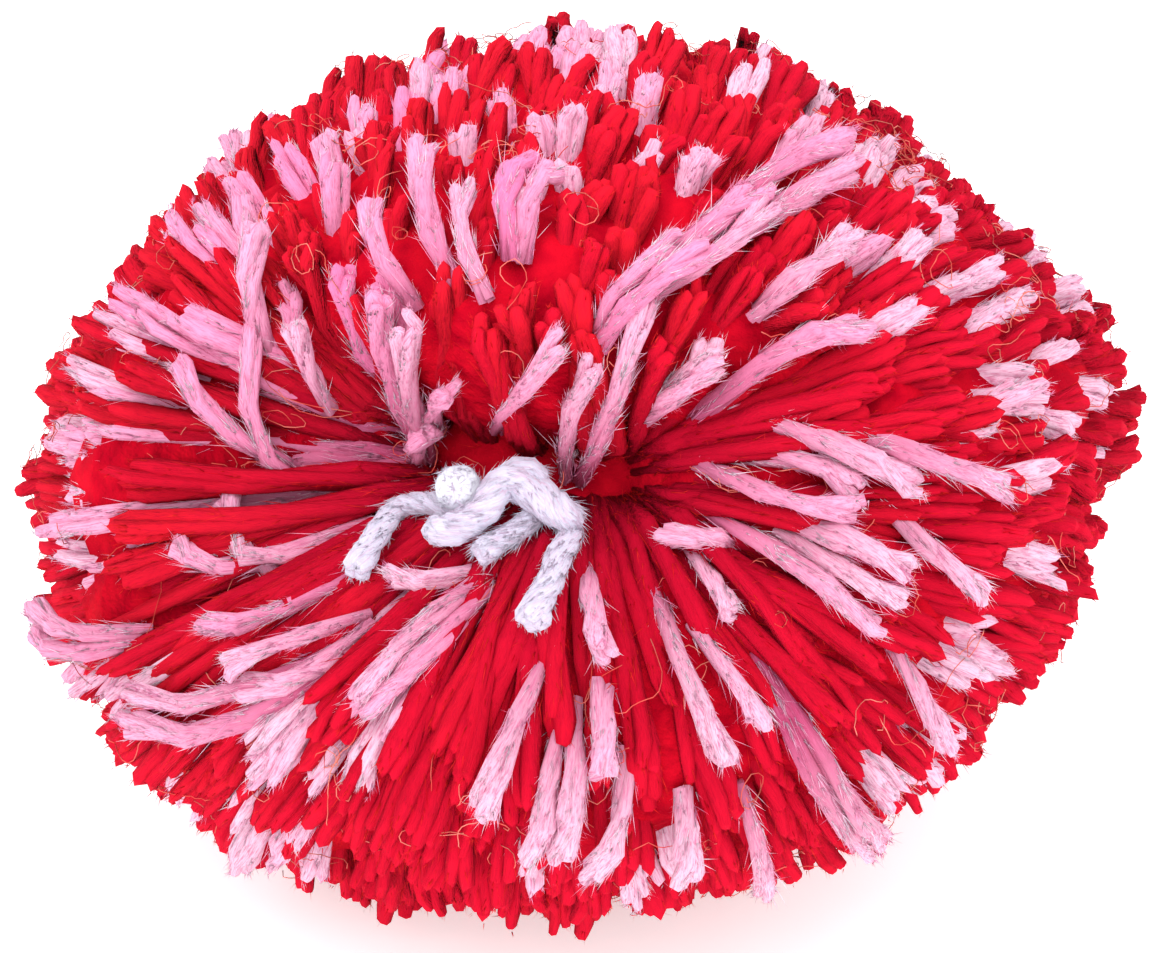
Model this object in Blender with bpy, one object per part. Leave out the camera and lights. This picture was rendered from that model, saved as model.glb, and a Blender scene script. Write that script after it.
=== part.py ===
"""Yarn pom pom: a squashed ball of cut yarn with a parting at the front, and the yarn tie that holds it.

Metres, +Z up. The pom pom stands on z = 0, and the origin is under the middle of its outline. Its front,
where the pile parts and the tie shows, is towards -Y. A direction from the strands' middle is an azimuth,
which is 0 at the front and grows towards +X, and an elevation above the level.
"""
import math
from collections import namedtuple

import bmesh
import bpy
from mathutils import Vector

MM = 0.001

# Driving dimensions
POM_WIDTH = 90.0 * MM           # of the ball under its tufts
POM_DEPTH = 84.0 * MM
POM_HEIGHT = 69.6 * MM          # before the underside is pressed flat
PRESSED_FLAT = 1.6 * MM         # how much of the height the flat spot takes
YARN = 2.6 * MM                 # thickness of one strand
GAP = 0.3 * MM                  # between the tie and the pile

# The parting: a slot in the pile, whose floor is the bound waist of the strands
PART_AZIMUTH = -20.0            # its middle, in degrees
PART_ELEVATION = 25.0
PART_HALF_LENGTH = 30.0         # of its floor, in degrees round the waist
PART_HALF_WIDTH = 7.0           # of its floor, in degrees up and down
PART_FLOOR = 23.5 * MM          # from the middle of the pom pom to the floor
REACH_LEFT = 20.0               # how far the pile slopes back on each side of the floor, in degrees
REACH_RIGHT = 28.0
REACH_UP = 15.0
REACH_DOWN = 27.0
SLOPE_POWER = 0.75              # 1 is a straight slope, and less is a rounded one
RIM_ROUNDING = 2.6 * MM
FOLDS = 13                      # bundles of strands that fan round the floor's two ends
FOLDS_ALONG = 3.0               # bundles along each half of the floor's sides
FOLD_RISE = 2.0 * MM

# Tufts: bundles of strands whose cut ends stand together
TUFTS = 190
TUFT_SPREAD = 10.5              # degrees from a tuft's middle to its edge
TUFT_RISES = (1.5 * MM, 2.4 * MM, 1.8 * MM, 2.7 * MM, 1.1 * MM, 2.2 * MM, 1.7 * MM)
TUFT_ROOT = 1.5 * MM            # how far the creases between tufts lie under the ball's own surface
GOLDEN_ANGLE = math.pi * (3.0 - math.sqrt(5.0))
BALL_SUBDIVISIONS = 5

# Where the whole ball is fuller or flatter than its ellipsoid
Swell = namedtuple("Swell", "azimuth elevation spread rise")
SWELLS = (
    Swell(-63, -38, 32, 3.6 * MM),
    Swell(-80, -14, 14, 1.6 * MM),
    Swell(-91, 2, 9, 1.8 * MM),
    Swell(-104, 27, 20, -1.4 * MM),
    Swell(96, 8, 13, 2.4 * MM),
    Swell(108, 32, 22, -2.8 * MM),
    Swell(74, -22, 26, -3.8 * MM),
    Swell(150, 10, 30, 1.2 * MM),
    Swell(-150, -5, 25, 0.8 * MM),
)

# The tie: white yarn knotted round the waist. Each strand of it that shows is a route over the pile, whose
# points have a direction, a lift over the pile in yarn thicknesses and a girth, also in yarn thicknesses
TiePoint = namedtuple("TiePoint", "azimuth elevation lift girth")
TIE_ROUTES = {
    "knot_left": (
        TiePoint(-24.0, 12.5, 0.45, 0.85),
        TiePoint(-21.0, 12.5, 0.55, 1.00),
        TiePoint(-19.0, 13.5, 0.6, 0.95),
        TiePoint(-17.5, 15.0, 0.65, 1.10),
        TiePoint(-16.5, 19.0, 0.65, 1.00),
        TiePoint(-12.5, 26.0, 0.5, 1.15),
        TiePoint(-9.0, 24.5, 0.3, 1.00),
    ),
    "knot_right": (
        TiePoint(-15.5, 23.5, 0.3, 0.90),
        TiePoint(-11.5, 20.5, 0.5, 1.05),
        TiePoint(-7.5, 17.0, 0.5, 1.10),
        TiePoint(-5.0, 16.0, 0.35, 1.00),
        TiePoint(-2.5, 16.5, 0.1, 0.75),
    ),
    "end_under": (
        TiePoint(-8.5, 18.5, 0.1, 0.70),
        TiePoint(-10.5, 16.5, 0.05, 0.70),
        TiePoint(-12.5, 14.5, 0.1, 0.70),
        TiePoint(-15.0, 13.0, 0.15, 0.75),
        TiePoint(-16.5, 11.5, 0.25, 0.90),
    ),
    "end_down": (
        TiePoint(-4.5, 17.0, 0.15, 0.70),
        TiePoint(-3.5, 14.5, 0.1, 0.70),
        TiePoint(-5.0, 12.5, 0.1, 0.80),
        TiePoint(-6.0, 10.0, 0.15, 0.80),
        TiePoint(-7.0, 8.0, 0.2, 0.90),
        TiePoint(-7.5, 6.0, 0.2, 1.20),
    ),
    "end_left": (
        TiePoint(-20.5, 15.5, 0.2, 0.80),
        TiePoint(-25.0, 16.0, 0.2, 0.70),
        TiePoint(-30.0, 16.0, 0.05, 0.70),
        TiePoint(-33.5, 14.5, 0.05, 0.70),
        TiePoint(-33.0, 12.5, 0.15, 0.75),
        TiePoint(-32.5, 10.0, 0.2, 0.80),
        TiePoint(-32.0, 7.5, 0.2, 1.05),
    ),
}
BALL_END = TiePoint(-22.0, 16.0, 0.75, 1.33)    # a cut end curled up into a ball
CLEAR_LIFT = GAP + 0.25 * MM    # the pile's folds stand up this far between the points
NORMAL_STEP = 4.0               # degrees over which the pile's slope is read
TIE_SIDES = 2                   # bevel resolution of a tie strand
TIE_STEPS = 4                   # between two points of a route

# The strands' middle stands a little off the middle of the outline, which is fuller behind and on the left
MIDDLE_RIGHT = 0.8 * MM
MIDDLE_FORWARD = 1.7 * MM
MIDDLE = Vector((MIDDLE_RIGHT, -MIDDLE_FORWARD, POM_HEIGHT / 2 - PRESSED_FLAT))


def direction(azimuth, elevation):
    """The unit vector for an azimuth and an elevation in degrees."""
    a, e = math.radians(azimuth), math.radians(elevation)
    return Vector((math.sin(a) * math.cos(e), -math.cos(a) * math.cos(e), math.sin(e)))


def new_collection(name):
    """A collection of that name in the scene."""
    made = bpy.data.collections.new(name)
    bpy.context.scene.collection.children.link(made)
    return made


def add_object(name, data, collection):
    """An object of that name around a mesh or a curve."""
    made = bpy.data.objects.new(name, data)
    collection.objects.link(made)
    return made


def yarn_material(name, colour, roughness):
    """A Principled material for yarn of one colour."""
    made = bpy.data.materials.new(name)
    made.use_nodes = True
    shader = made.node_tree.nodes["Principled BSDF"]
    shader.inputs["Base Color"].default_value = (*colour, 1.0)
    shader.inputs["Roughness"].default_value = roughness
    shader.inputs["Metallic"].default_value = 0.0
    return made


def swell_height(unit):
    """How far the ball stands out or in at a direction, from the table of swells."""
    total = 0.0
    for swell in SWELLS:
        apart = math.degrees(unit.angle(direction(swell.azimuth, swell.elevation)))
        total += swell.rise * math.exp(-((apart / swell.spread) ** 2))
    return total


def tuft_middles():
    """Directions of the tufts, evenly spread over the ball by the golden angle."""
    middles = []
    for k in range(TUFTS):
        height = 1.0 - 2.0 * (k + 0.5) / TUFTS
        ring = math.sqrt(1.0 - height * height)
        turn = k * GOLDEN_ANGLE
        middles.append(Vector((ring * math.cos(turn), ring * math.sin(turn), height)))
    return middles


TUFT_MIDDLES = tuft_middles()


def tuft_height(unit):
    """The rounded rise of the tuft that a direction falls in."""
    nearest = max(range(TUFTS), key=lambda k: unit.dot(TUFT_MIDDLES[k]))
    apart = math.degrees(unit.angle(TUFT_MIDDLES[nearest])) / TUFT_SPREAD
    rise = TUFT_RISES[nearest % len(TUFT_RISES)]
    return (rise + TUFT_ROOT) * max(0.0, 1.0 - apart * apart) - TUFT_ROOT


def ball_radius(unit):
    """Distance from the middle to the outer surface, without the parting."""
    half_sizes = (POM_WIDTH / 2, POM_DEPTH / 2, POM_HEIGHT / 2)
    plain = 1.0 / math.sqrt(sum((unit[k] / half_sizes[k]) ** 2 for k in range(3)))
    return plain + swell_height(unit)


def past(value, limit):
    """How far a signed value is beyond a limit on either side, with its sign."""
    return math.copysign(max(0.0, abs(value) - limit), value)


def slope_place(unit):
    """Where a direction is on the parting's slopes: how far up, 0 at the floor and 1 at the rim, and which fold."""
    azimuth = math.degrees(math.atan2(unit.x, -unit.y))
    elevation = math.degrees(math.asin(max(-1.0, min(1.0, unit.z))))
    along, rise = azimuth - PART_AZIMUTH, elevation - PART_ELEVATION
    sideways = past(along, PART_HALF_LENGTH) * math.cos(math.radians(elevation))
    side = sideways / (REACH_RIGHT if along > 0 else REACH_LEFT)
    height = past(rise, PART_HALF_WIDTH) / (REACH_UP if rise > 0 else REACH_DOWN)
    on_floor = max(-1.0, min(1.0, along / PART_HALF_LENGTH))
    fold = FOLDS * math.atan2(rise, past(along, PART_HALF_LENGTH)) / math.tau
    return math.hypot(side, height), fold - math.copysign(FOLDS_ALONG * on_floor, rise)


def smooth_least(a, b, rounding):
    """The smaller of two lengths, with a rounded change from one to the other."""
    mix = max(0.0, min(1.0, 0.5 + 0.5 * (b - a) / rounding))
    return b + (a - b) * mix - rounding * mix * (1.0 - mix)


def pile_radius(unit):
    """Distance from the middle to the pile's surface in a direction."""
    outer = ball_radius(unit)
    up_slope, fold = slope_place(unit)
    slope = PART_FLOOR + (outer - PART_FLOOR) * up_slope ** SLOPE_POWER
    surface = smooth_least(slope, outer, RIM_ROUNDING)
    on_slope = max(0.0, 1.0 - abs(2.0 * up_slope - 1.0))
    folded = FOLD_RISE * on_slope * (abs(math.cos(math.pi * fold)) - 0.5)
    return surface + folded + tuft_height(unit) * min(1.0, up_slope ** 2)


def make_pile(collection, material):
    """The whole pile as one closed solid: the outer form that the cut ends reach, and the parting."""
    bm = bmesh.new()
    bmesh.ops.create_icosphere(bm, subdivisions=BALL_SUBDIVISIONS, radius=1.0)
    on_slopes = {vert for vert in bm.verts if slope_place(vert.co.normalized())[0] < 1.0}
    parted = [edge for edge in bm.edges if on_slopes.issuperset(edge.verts)]
    bmesh.ops.subdivide_edges(bm, edges=parted, cuts=1, use_grid_fill=True)
    bmesh.ops.triangulate(bm, faces=bm.faces)
    for vert in bm.verts:
        unit = vert.co.normalized()
        vert.co = MIDDLE + unit * pile_radius(unit)
        vert.co.z = max(0.0, vert.co.z)
    mesh = bpy.data.meshes.new("pile")
    bm.to_mesh(mesh)
    bm.free()
    mesh.shade_smooth()
    pile = add_object("pile", mesh, collection)
    mesh.materials.append(material)
    return pile


def over_pile(point):
    """The place of a tie point: out of the pile's surface, along its normal."""
    here = direction(point.azimuth, point.elevation)
    corners = []
    for turn, tilt in ((-1, -1), (1, -1), (1, 1), (-1, 1)):
        near = direction(point.azimuth + turn * NORMAL_STEP, point.elevation + tilt * NORMAL_STEP)
        corners.append(near * pile_radius(near))
    normal = (corners[2] - corners[0]).cross(corners[3] - corners[1]).normalized()
    surface = sum(corners, here * pile_radius(here)) / (len(corners) + 1)
    return MIDDLE + surface + normal * (CLEAR_LIFT + (point.lift + point.girth / 2) * YARN)


def tie_strand(name, route, collection):
    """One strand of the tie, as a closed tube along its route."""
    curve = bpy.data.curves.new(name, "CURVE")
    curve.dimensions = "3D"
    curve.bevel_depth = YARN / 2
    curve.bevel_resolution = TIE_SIDES
    curve.use_fill_caps = True
    spline = curve.splines.new("NURBS")
    spline.points.add(len(route) - 1)
    for spot, point in zip(spline.points, route):
        spot.co = (*over_pile(point), 1.0)
        spot.radius = point.girth
    spline.order_u = 3
    spline.use_endpoint_u = True
    spline.resolution_u = TIE_STEPS
    drawn = add_object(name + "_route", curve, collection)
    mesh = bpy.data.meshes.new_from_object(drawn.evaluated_get(bpy.context.evaluated_depsgraph_get()))
    bpy.data.objects.remove(drawn)
    close_caps(mesh)
    return add_object(name, mesh, collection)


def close_caps(mesh):
    """Joins a tube's loose caps to its wall."""
    bm = bmesh.new()
    bm.from_mesh(mesh)
    bmesh.ops.remove_doubles(bm, verts=bm.verts, dist=0.01 * MM)
    bm.to_mesh(mesh)
    bm.free()


def ball_end(name, point, collection):
    """The curled end of the tie, as a small ball."""
    bm = bmesh.new()
    bmesh.ops.create_icosphere(bm, subdivisions=2, radius=point.girth * YARN / 2)
    bmesh.ops.translate(bm, verts=bm.verts, vec=over_pile(point))
    mesh = bpy.data.meshes.new(name)
    bm.to_mesh(mesh)
    bm.free()
    return add_object(name, mesh, collection)


def make_tie(collection, cutters, material):
    """The tie as one solid: its strands and its ball end, joined where they cross in the knot."""
    strands = [tie_strand(name, route, cutters) for name, route in TIE_ROUTES.items()]
    strands.append(ball_end("end_ball", BALL_END, cutters))
    tie = add_object("tie", strands[0].data.copy(), collection)
    for strand in strands:
        strand.hide_render = True
        strand.display_type = "WIRE"
    for strand in strands[1:]:
        union = tie.modifiers.new("join_" + strand.name, "BOOLEAN")
        union.operation = "UNION"
        union.solver = "EXACT"
        union.object = strand
    tie.data.shade_smooth()
    tie.data.materials.append(material)
    return tie


def clear_scene():
    """Takes away whatever the scene holds at the start."""
    for old in list(bpy.data.objects):
        bpy.data.objects.remove(old)


def main():
    clear_scene()
    pom_pom = new_collection("yarn_pom_pom")
    cutters = new_collection("tie_strands")
    red = yarn_material("red_yarn", (0.72, 0.0, 0.01), 0.95)
    white = yarn_material("white_yarn", (0.88, 0.82, 0.88), 0.95)
    make_pile(pom_pom, red)
    make_tie(pom_pom, cutters, white)


main()
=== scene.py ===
# %% [markdown]
# # A yarn pom pom in red and white
# A pom pom is many short strands of yarn, bound tightly round their middle by one tie, then fluffed into
# a ball and trimmed. Every strand runs from the bound waist to a cut end at the surface.
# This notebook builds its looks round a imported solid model, which gives the size and the outline.
# Everything is in metres, +Z is up, and the parting where the tie shows faces -Y.

# %% Load the frame
import math
from collections import namedtuple

import bpy
import numpy as np
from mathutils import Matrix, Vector
from mathutils.bvhtree import BVHTree


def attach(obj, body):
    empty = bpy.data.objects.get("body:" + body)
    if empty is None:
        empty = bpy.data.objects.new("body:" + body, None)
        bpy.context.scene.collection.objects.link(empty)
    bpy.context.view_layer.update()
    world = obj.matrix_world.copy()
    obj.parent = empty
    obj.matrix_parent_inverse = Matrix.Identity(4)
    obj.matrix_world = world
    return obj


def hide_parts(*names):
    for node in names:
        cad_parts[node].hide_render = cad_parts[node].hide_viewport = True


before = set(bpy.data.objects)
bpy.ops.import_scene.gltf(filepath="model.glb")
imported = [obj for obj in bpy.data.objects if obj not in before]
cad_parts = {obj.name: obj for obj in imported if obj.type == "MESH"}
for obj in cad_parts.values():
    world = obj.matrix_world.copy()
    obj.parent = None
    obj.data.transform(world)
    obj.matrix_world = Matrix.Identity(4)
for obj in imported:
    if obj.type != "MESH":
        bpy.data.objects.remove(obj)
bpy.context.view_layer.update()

MM = 0.001
SEED = 20
dice = np.random.default_rng(SEED)

# %% [markdown]
# ## Camera
# The camera looks down at the pom pom from 30 degrees, far enough away that the ball isn't distorted.
# It comes first, because the bunches of strands that it sees are listed further down.

# %% Camera
CAMERA_ELEVATION = 30.0
CAMERA_DISTANCE = 232.8 * MM
CAMERA_LENS = 85.0
CAMERA_AIM = Vector((-0.1, -2.5, 31.7)) * MM
CAMERA_NEAR = 10.0 * MM

tilt = math.radians(CAMERA_ELEVATION)
camera_way = Vector((0.0, -math.cos(tilt), math.sin(tilt)))
bpy.ops.object.camera_add(location=CAMERA_AIM + camera_way * CAMERA_DISTANCE)
camera = bpy.context.object
camera.name = "camera"
camera.rotation_mode = "QUATERNION"
camera.rotation_quaternion = (-camera_way).to_track_quat("-Z", "Y")
camera.data.lens = CAMERA_LENS
camera.data.clip_start = CAMERA_NEAR
bpy.context.scene.camera = camera
print("camera at", [round(x / MM) for x in camera.location], "mm")

# %% [markdown]
# ## Small helpers for arrays
# Thousands of strands are worked out at once as numpy arrays, one row for each strand. These helpers do
# the vector arithmetic: unit length, a smooth step, and directions as azimuth and elevation in degrees.
# Azimuth 0 is the front, -Y, and 90 is the right-hand side, +X.

# %% Array helpers
TINY = 1e-12


def unit(vectors):
    """Vectors of length one."""
    return vectors / np.maximum(np.linalg.norm(vectors, axis=-1, keepdims=True), TINY)


def ramp(value, low, high):
    """0 below low, 1 above high, and a smooth step between."""
    t = np.clip((value - low) / (high - low), 0.0, 1.0)
    return t * t * (3.0 - 2.0 * t)


def direction(azimuth, elevation):
    """Unit vectors for azimuths from the front and elevations, in degrees."""
    a, e = np.radians(azimuth), np.radians(elevation)
    return np.stack([np.sin(a) * np.cos(e), -np.cos(a) * np.cos(e), np.sin(e) + 0.0 * a], -1)


def angles(directions):
    """Azimuths and elevations of unit vectors, in degrees."""
    azimuth = np.degrees(np.arctan2(directions[..., 0], -directions[..., 1]))
    return azimuth, np.degrees(np.arcsin(np.clip(directions[..., 2], -1.0, 1.0)))


print("the front is", direction(0.0, 0.0))

# %% [markdown]
# ## Where the pile is
# The middle of the bound waist and the parting in front of it are the same as in the solid model. A ray
# from the middle finds how far the pile reaches in any direction, so the strands can end on the solid's
# surface, with its tufts, its parting and its flat underside. The parting is a trough: its floor has a
# half length and a half width, and its slopes reach further out to the left, right, top and bottom, all
# in degrees as seen from the middle. Well away from it the pile counts as its far side.

# %% The pile's own measures
MIDDLE = np.array((0.8, -1.7, 33.2)) * MM
PART_AZIMUTH, PART_ELEVATION = -20.0, 25.0
PART_HALF_LENGTH, PART_HALF_WIDTH = 30.0, 7.0
PART_FLOOR = 23.5 * MM
REACH_LEFT, REACH_RIGHT, REACH_UP, REACH_DOWN = 20.0, 28.0, 15.0, 27.0
SLOPE_POWER = 0.75
FRONT_END, BACK_START = 45.0, 65.0

pile_solid = BVHTree.FromObject(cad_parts["pile"], bpy.context.evaluated_depsgraph_get())
waist_normal = unit(np.cross((1.0, 0.0, 0.0), direction(0.0, PART_ELEVATION)))


def pile_reach(directions):
    """How far the solid pile reaches from the middle, for each direction."""
    start = Vector(MIDDLE)
    return np.array([pile_solid.ray_cast(start, Vector(way))[3] or PART_FLOOR for way in directions])


def on_pile(directions):
    """The points of the pile's surface in these directions."""
    return MIDDLE + directions * pile_reach(directions)[:, None]


print("waist plane normal", np.round(waist_normal, 3))

# %% Places in and round the parting


def past(value, limit):
    """How far signed values are beyond a limit on either side."""
    return np.sign(value) * np.maximum(np.abs(value) - limit, 0.0)


def up_slope(directions):
    """How far up the parting's slope a direction is: 0 on its floor, 1 at its rim, more outside."""
    azimuth, elevation = angles(directions)
    along, rise = azimuth - PART_AZIMUTH, elevation - PART_ELEVATION
    side = past(along, PART_HALF_LENGTH) * np.cos(np.radians(elevation))
    side = side / np.where(along > 0, REACH_RIGHT, REACH_LEFT)
    height = past(rise, PART_HALF_WIDTH) / np.where(rise > 0, REACH_UP, REACH_DOWN)
    return np.hypot(side, height)


def far_out(directions):
    """0 for directions round the parting, 1 for those on the far side."""
    away = np.degrees(np.arccos(np.clip(directions @ direction(PART_AZIMUTH, PART_ELEVATION), -1.0, 1.0)))
    return ramp(away, FRONT_END, BACK_START)


print("the parting is", 2 * PART_HALF_LENGTH, "degrees long on its floor")

# %% [markdown]
# ## Where the strands end
# Cut ends stand about a yarn's width apart all over the ball. Random points that are kept only if no
# earlier one is too near give that spread without the look of a grid. A few strands were cut short and
# end down in the parting. The same trick with a wider spacing gives the bunches of one colour, because
# the yarn is wound on in runs. Fluffing pushes neighbours over the same way, so a smooth field of pushes
# made of a few sine waves leans them, and each strand splays a little by itself as well.

# %% Cut ends and bunches
END_SPACING = 2.5 * MM
SHORT_SPACING = 6.0 * MM
BUNCH_SPACING = 5.6 * MM
TRIES = 26000
RIM, LOWEST_CUT = 0.86, 0.7
LEAN, LEAN_SIZE = 1.6 * MM, 9.0 * MM
SPLAY = 0.8 * MM
WAVES = 6


def spread(points, spacing):
    """Indices of the points that are at least a spacing away from every earlier one that is kept."""
    cells, kept = {}, []
    steps = [(i, j, k) for i in (-1, 0, 1) for j in (-1, 0, 1) for k in (-1, 0, 1)]
    for index, (point, cell) in enumerate(zip(points, np.floor(points / spacing).astype(int).tolist())):
        near = (cells.get((cell[0] + i, cell[1] + j, cell[2] + k)) for i, j, k in steps)
        if all(other is None or np.dot(point - other, point - other) > spacing ** 2 for other in near):
            cells[tuple(cell)] = point
            kept.append(index)
    return np.array(kept)


def swirl(points, size):
    """A smooth field of sideways pushes, alike for neighbours within about a size."""
    turns = dice.normal(size=(WAVES, 3, 3))
    return sum(np.sin(points / size @ turn + 2.0 * k) for k, turn in enumerate(turns)) / len(turns)


tries = unit(dice.normal(size=(TRIES, 3)))
places = on_pile(tries)
outside = up_slope(tries) > RIM
long_ones = np.flatnonzero(outside)[spread(places[outside], END_SPACING)]
short_ones = np.flatnonzero(~outside)[spread(places[~outside], SHORT_SPACING)]
short_ones = short_ones[up_slope(tries[short_ones]) > LOWEST_CUT]
ends = np.concatenate([long_ones, short_ones])
end_way, end_place = tries[ends], places[ends]
push = swirl(end_place, LEAN_SIZE) * LEAN + dice.normal(size=end_place.shape) * SPLAY
bunches = spread(places, BUNCH_SPACING)
print(len(long_ones), "strands to the rim,", len(short_ones), "short ones,", len(bunches), "bunches")

# %% [markdown]
# ## White bunches in front
# The yarn is about three parts red to two parts white. On the side that the camera sees, the white
# bunches are listed one by one, by the azimuth and elevation of their cut ends and by their width in
# millimetres. Near the ball's upper outline, where bunches overlap, some more fall by chance, and on the
# side that isn't seen all of them do. A strand takes the colour of the bunch it ends in, with a little
# jitter at the edge, and the short strands down in the parting stay red.

# %% Table of white bunches
Bunch = namedtuple("Bunch", "azimuth elevation width_mm")
WHITE_BUNCHES = [Bunch(*row) for row in (
    # Top
    (-102, 66, 5.2), (-62, 71, 4.2), (-92, 78, 4.4), (-11, 69, 4.8), (-17, 76, 4.2), (46, 84, 6.4),
    (19, 69, 4.6), (12, 62, 3.2), (27, 65, 3.4), (67, 68, 4.6), (71, 62, 4.0), (85, 59, 3.6),
    (103, 67, 3.9), (122, 52, 5.7), (93, 50, 7.0), (70, 54, 4.0), (177, 68, 4.7),
    # Upper right
    (80, 41, 6.4), (76, 47, 4.4), (42, 49, 3.4), (63, 42, 4.6), (68, 36, 4.8), (53, 37, 3.6),
    (56, 44, 3.4), (67, 32, 4.4), (46, 31, 4.4),
    (59, 25, 4.0), (45, 23, 3.4), (55, 21, 3.6), (57, 16, 3.6), (76, 19, 6.0), (69, 16, 5.4),
    # Right and lower right
    (80, 13, 6.4), (81, 4, 5.0), (54, 7, 4.2), (65, 12, 4.6), (72, 30, 5.0), (66, 25, 4.4),
    (62, 21, 4.6), (74, 20, 4.4), (41, -2, 5.0), (37, -6, 5.0), (46, -1, 7.0), (42, -13, 5.4),
    (44, -19, 5.0), (40, -24, 4.4), (32, -12, 4.4), (31, -18, 4.0), (25, -6, 3.0),
    # Bottom
    (16, -8, 2.8), (12, -24, 3.0), (7, -26, 3.6), (0, -17, 3.0), (-3, -4, 3.6), (-4, -14, 3.6),
    (-8, -23, 2.6), (-13, -24, 2.8), (-25, -32, 3.0), (-23, -8, 3.4),
    # Lower left
    (-26, -9, 4.0), (-31, -12, 4.4), (-33, -22, 5.0), (-38, -8, 3.6), (-36, -13, 4.6), (-41, -19, 4.0),
    (-38, -29, 5.6), (-46, -28, 4.8), (-45, -22, 4.4), (-55, -24, 5.4), (-66, -15, 5.6), (-55, -8, 3.8),
    (-54, 1, 3.2), (-65, -3, 4.6), (-71, -16, 4.6),
    # Left and upper left
    (-74, -1, 6.6), (-68, 2, 4.6), (-65, -1, 4.0), (-63, 3, 3.2), (-78, 8, 6.6), (-70, 14, 6.0),
    (-68, 19, 5.0), (-76, 18, 6.0), (-76, 26, 6.4), (-68, 28, 3.6), (-73, 31, 3.0), (-79, 38, 4.8),
    (-88, 42, 5.4), (-74, 44, 5.0), (-64, 40, 3.2), (-54, 39, 3.0), (-50, 46, 4.4), (-58, 52, 2.6),
    (-63, 56, 2.6), (-78, 56, 4.0), (-81, 51, 4.8), (-90, 60, 5.6), (-94, 62, 5.0), (-36, 46, 3.8),
)]
print(len(WHITE_BUNCHES), "white bunches, up to", max(bunch.width_mm for bunch in WHITE_BUNCHES), "mm wide")

# %% Colour the strands
SEEN_SHARE, FAR_SHARE = 0.30, 0.42
SEEN_ABOVE = -0.1
CHANCE_FADES = (0.25, 0.5)
CHANCE_ABOVE = 0.1
EDGE_JITTER = 0.35 * MM

facing = tries[bunches] @ np.array(camera_way)
share = SEEN_SHARE * (1.0 - ramp(facing, *CHANCE_FADES)) * (tries[bunches][:, 2] > CHANCE_ABOVE)
by_chance = dice.random(len(bunches)) < np.where(facing > SEEN_ABOVE, share, FAR_SHARE)
own_bunch = np.array([np.argmin(((places[bunches] - place) ** 2).sum(1)) for place in end_place + push])
table = np.array(WHITE_BUNCHES, dtype=float)
bunch_place = on_pile(direction(table[:, 0], table[:, 1]))
gaps = np.linalg.norm((end_place + push)[:, None] - bunch_place[None], axis=2)
gaps = gaps + dice.normal(size=(len(ends), 1)) * EDGE_JITTER
end_white = by_chance[own_bunch] | (gaps < table[:, 2] * MM / 2).any(1)
end_white &= up_slope(end_way) > RIM
print(end_white.sum(), "of", len(ends), "strands are white")

# %% [markdown]
# ## How a strand runs
# A strand near the parting lies along its slope, from the bound waist to its cut end. One further back
# is hidden in the pile but for its last centimetre, so only that much of it is made. Below the tie the
# strands fan out from a narrow place, because the tie is pulled tightest there. Behind the rim they bend
# up from the waist, and those on the front half lean away from the parting, as the tie pushes them.

# %% Natural routes
OUTER_PART = 13.0 * MM
ROOT_DEPTH = 4.5 * MM
FAN_SHARE, FAN_SHIFT, FAN_BELOW = 0.45, 8.0, 20.0
FLOOR_RISE = 0.7
RIM_FADE = (1.25, 2.1)
MOST_CLIMB = 1.2
WAIST_BEND, AWAY_LEAN = 0.15, 0.30
LEAN_FADE = (-0.4, 0.3)


def floor_under(directions):
    """The direction of the place on the parting's floor where a strand starts."""
    azimuth, elevation = angles(directions)
    along, rise = azimuth - PART_AZIMUTH, elevation - PART_ELEVATION
    fanned = FAN_SHIFT + FAN_SHARE * along
    below = ramp(-rise, 0.0, FAN_BELOW)
    along = np.clip(along * (1.0 - below) + fanned * below, -PART_HALF_LENGTH, PART_HALF_LENGTH)
    rise = np.clip(rise, -PART_HALF_WIDTH, PART_HALF_WIDTH)
    return direction(PART_AZIMUTH + along, PART_ELEVATION + FLOOR_RISE * rise)


def near_parting(ways):
    """1 for strands that show along their whole length, 0 for those well behind the rim."""
    return 1.0 - ramp(up_slope(ways), *RIM_FADE)


def made_length(ways, tips):
    """How long the made part of strands is that end at given distances from the middle."""
    near = near_parting(ways)
    return near * (tips - PART_FLOOR + ROOT_DEPTH) + (1.0 - near) * OUTER_PART


def natural_routes(ways, tips, shares):
    """Centre lines: for each strand a row of points at shares of its length, root to cut end."""
    near = near_parting(ways)[:, None, None]
    length = made_length(ways, tips)[:, None, None]
    tips, shares = tips[:, None, None], shares[..., None]
    radius = tips - length * (1.0 - shares)
    start = PART_FLOOR - ROOT_DEPTH
    climb = np.clip((radius - start) / (tips - start), 0.0, MOST_CLIMB) ** (1.0 / SLOPE_POWER)
    waist = unit(ways - (ways @ waist_normal)[:, None] * waist_normal)
    bend = WAIST_BEND * (1.0 - shares)
    from_floor = unit(floor_under(ways)[:, None] * (1.0 - climb) + ways[:, None] * climb)
    parting = direction(PART_AZIMUTH, PART_ELEVATION)
    lean = AWAY_LEAN * ramp(ways @ parting, *LEAN_FADE)[:, None, None] * (1.0 - shares)
    from_waist = unit(waist[:, None] * bend + ways[:, None] * (1.0 - bend - lean) + parting * lean)
    return MIDDLE + unit(from_floor * near + from_waist * (1.0 - near)) * radius


print("strands behind the rim are made", OUTER_PART / MM, "mm long")

# %% [markdown]
# ## Strands that lie across others
# Some white strands show over their whole length, because they lie on top of the red ones. Each is drawn
# through three places, azimuth and elevation in degrees, with its root tucked in and its middle and cut
# end a little proud. Two that run side by side share a row. The smooth lines through the places are
# Catmull-Rom splines, which the tie uses too. Upright strands whose ends would poke through a laid one
# are left out.

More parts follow.
